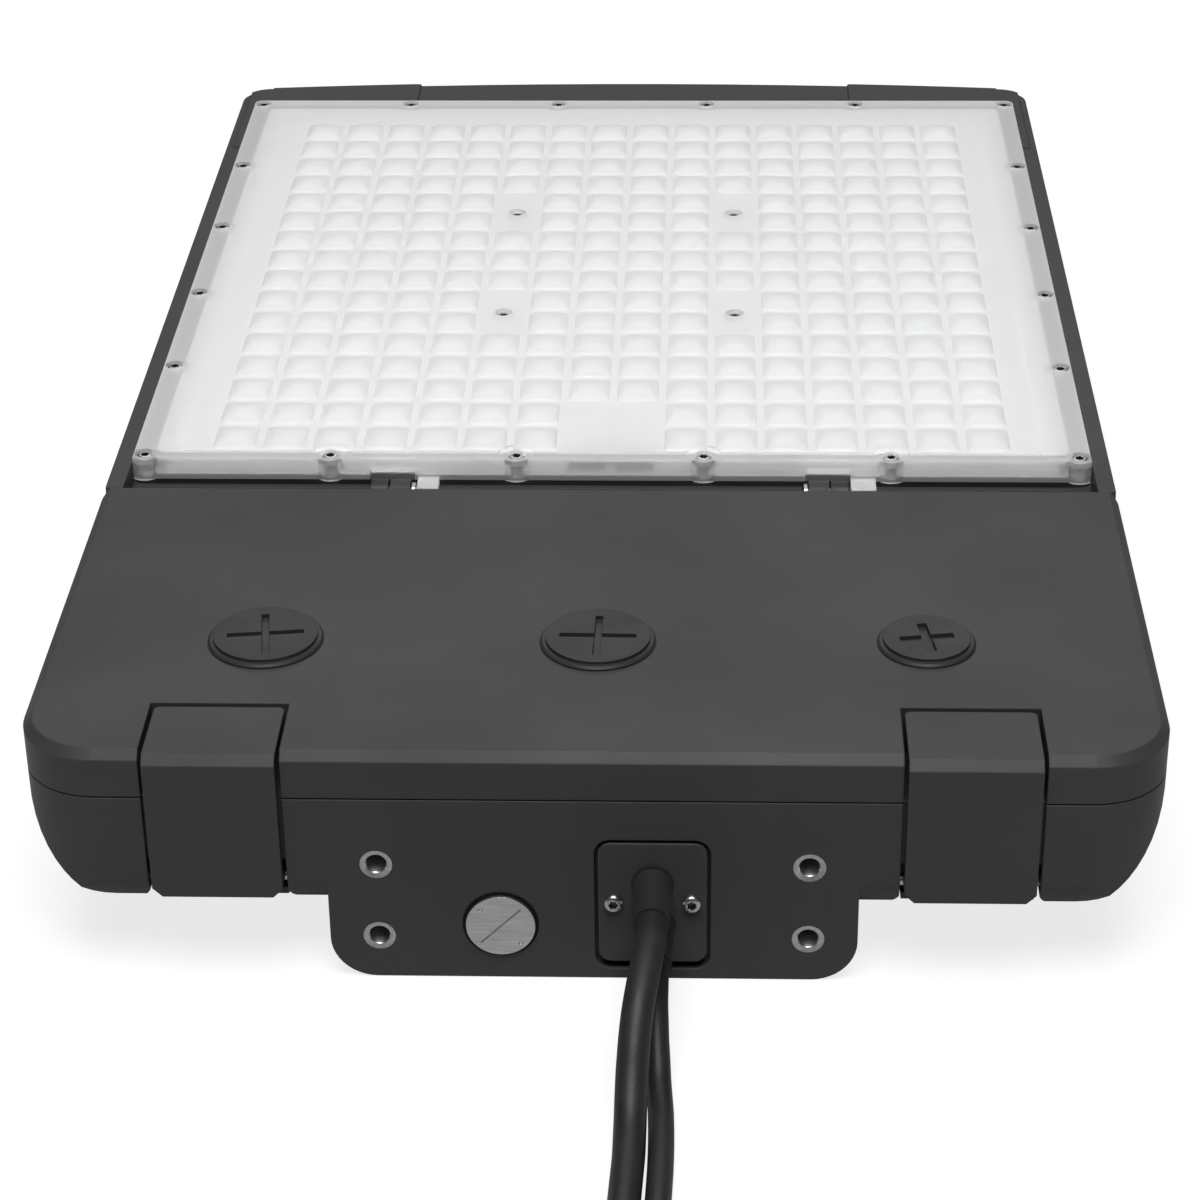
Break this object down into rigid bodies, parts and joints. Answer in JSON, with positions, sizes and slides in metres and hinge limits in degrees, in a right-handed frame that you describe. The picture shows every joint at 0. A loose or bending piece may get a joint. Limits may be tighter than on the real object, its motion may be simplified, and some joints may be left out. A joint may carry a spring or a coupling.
{
  "type": "shoebox area light",
  "caption": "Flat die-cast area light with a clear moulded lens panel, a hinged wiring door held by flip latches, a bolt-on mounting pad and free cords.",
  "frame": {"origin": "under the middle of the light, level with the fin tips and the pad's lower edge, measured without the cords", "axes": "+Z out of the lens, +Y from the mounting pad to the front edge, +X across the light. The light lies on its fins with the lens up, as pictured; in use it hangs with +Z down."},
  "size_m": [0.344, 0.8272, 0.083],
  "materials": {
    "painted_casting": "satin powder coat",
    "cap_plastic": "satin, lightly textured",
    "thermal_pad": "matte",
    "white_board": "satin solder mask",
    "chip_phosphor": "semi-gloss",
    "dark_plastic": "matte",
    "rubber": "matte",
    "clear_lens": "clear moulded polycarbonate",
    "screw_steel": "bright",
    "lead_insulation": "satin",
    "lead_insulation_dark": "satin",
    "driver_case": "satin",
    "white_plastic": "satin",
    "ground_green": "satin",
    "board_green": "satin",
    "plug_steel": "satin, lightly scratched",
    "cord_rubber": "matte",
    "copper": "bright, tinned at the tips"
  },
  "bodies": {
    "housing": {"housing": "painted_casting", "cable_plate": "painted_casting", "thermal_pad": "thermal_pad", "light_board": "white_board", "light_chips": "chip_phosphor", "board_connectors": "dark_plastic", "lens_gasket": "rubber", "lens_cover": "clear_lens", "lens_screws": "screw_steel", "lens_middle_screws": "screw_steel", "lead_grommet": "rubber", "board_leads": "lead_insulation", "supply_leads": "lead_insulation_dark", "driver": "driver_case", "surge_protector": "white_plastic", "terminal_block": "white_plastic", "compartment_screws": "screw_steel", "ground_screw": "ground_green", "door_gasket": "rubber", "hinge_bearings": "dark_plastic", "door_hinge_pins": "screw_steel", "latch_pins": "screw_steel", "hole_plug": "plug_steel", "hole_plug_seal": "rubber", "cable_plate_seal": "rubber", "cable_plate_screws": "screw_steel", "power_cord_boot": "rubber", "dimming_cord_boot": "rubber", "power_cord": "cord_rubber", "power_cord_coil": "cord_rubber", "power_cord_tie": "dark_plastic", "power_cord_wires": "copper", "dimming_cord": "cord_rubber", "dimming_cord_coil": "cord_rubber", "dimming_cord_tie": "dark_plastic", "dimming_cord_wires": "copper"},
    "door": {"door": "painted_casting", "cap_seals": "rubber", "selector_board": "board_green", "sensor_socket": "dark_plastic"},
    "left_cap": {"left_cap": "cap_plastic"},
    "middle_cap": {"middle_cap": "cap_plastic"},
    "right_cap": {"right_cap": "cap_plastic"},
    "power_dial": {"power_dial": "white_plastic"},
    "colour_dial": {"colour_dial": "white_plastic"},
    "left_latch": {"left_latch": "painted_casting"},
    "right_latch": {"right_latch": "painted_casting"}
  },
  "joints": [
    {"name": "door_hinge", "type": "hinge", "parent": "housing", "child": "door", "pos_m": [0, -0.0945, 0.07], "axis": [-1, 0, 0], "range_deg": [0, 100]},
    {"name": "left_latch_pivot", "type": "hinge", "parent": "housing", "child": "left_latch", "pos_m": [-0.11305, -0.271, 0.032], "axis": [1, 0, 0], "range_deg": [0, 65]},
    {"name": "right_latch_pivot", "type": "hinge", "parent": "housing", "child": "right_latch", "pos_m": [0.11305, -0.271, 0.032], "axis": [1, 0, 0], "range_deg": [0, 65]},
    {"name": "left_cap_turn", "type": "hinge", "parent": "door", "child": "left_cap", "pos_m": [-0.1038, -0.2125, 0.08], "axis": [0, 0, 1], "range_deg": [0, 90]},
    {"name": "middle_cap_turn", "type": "hinge", "parent": "door", "child": "middle_cap", "pos_m": [0, -0.2125, 0.08], "axis": [0, 0, 1], "range_deg": [0, 90]},
    {"name": "right_cap_turn", "type": "hinge", "parent": "door", "child": "right_cap", "pos_m": [0.102, -0.2125, 0.08], "axis": [0, 0, 1], "range_deg": [0, 90]},
    {"name": "power_dial_turn", "type": "hinge", "parent": "door", "child": "power_dial", "pos_m": [-0.1038, -0.2125, 0.072], "axis": [0, 0, 1], "range_deg": [0, 90]},
    {"name": "colour_dial_turn", "type": "hinge", "parent": "door", "child": "colour_dial", "pos_m": [0, -0.2125, 0.072], "axis": [0, 0, 1], "range_deg": [0, 90]}
  ]
}
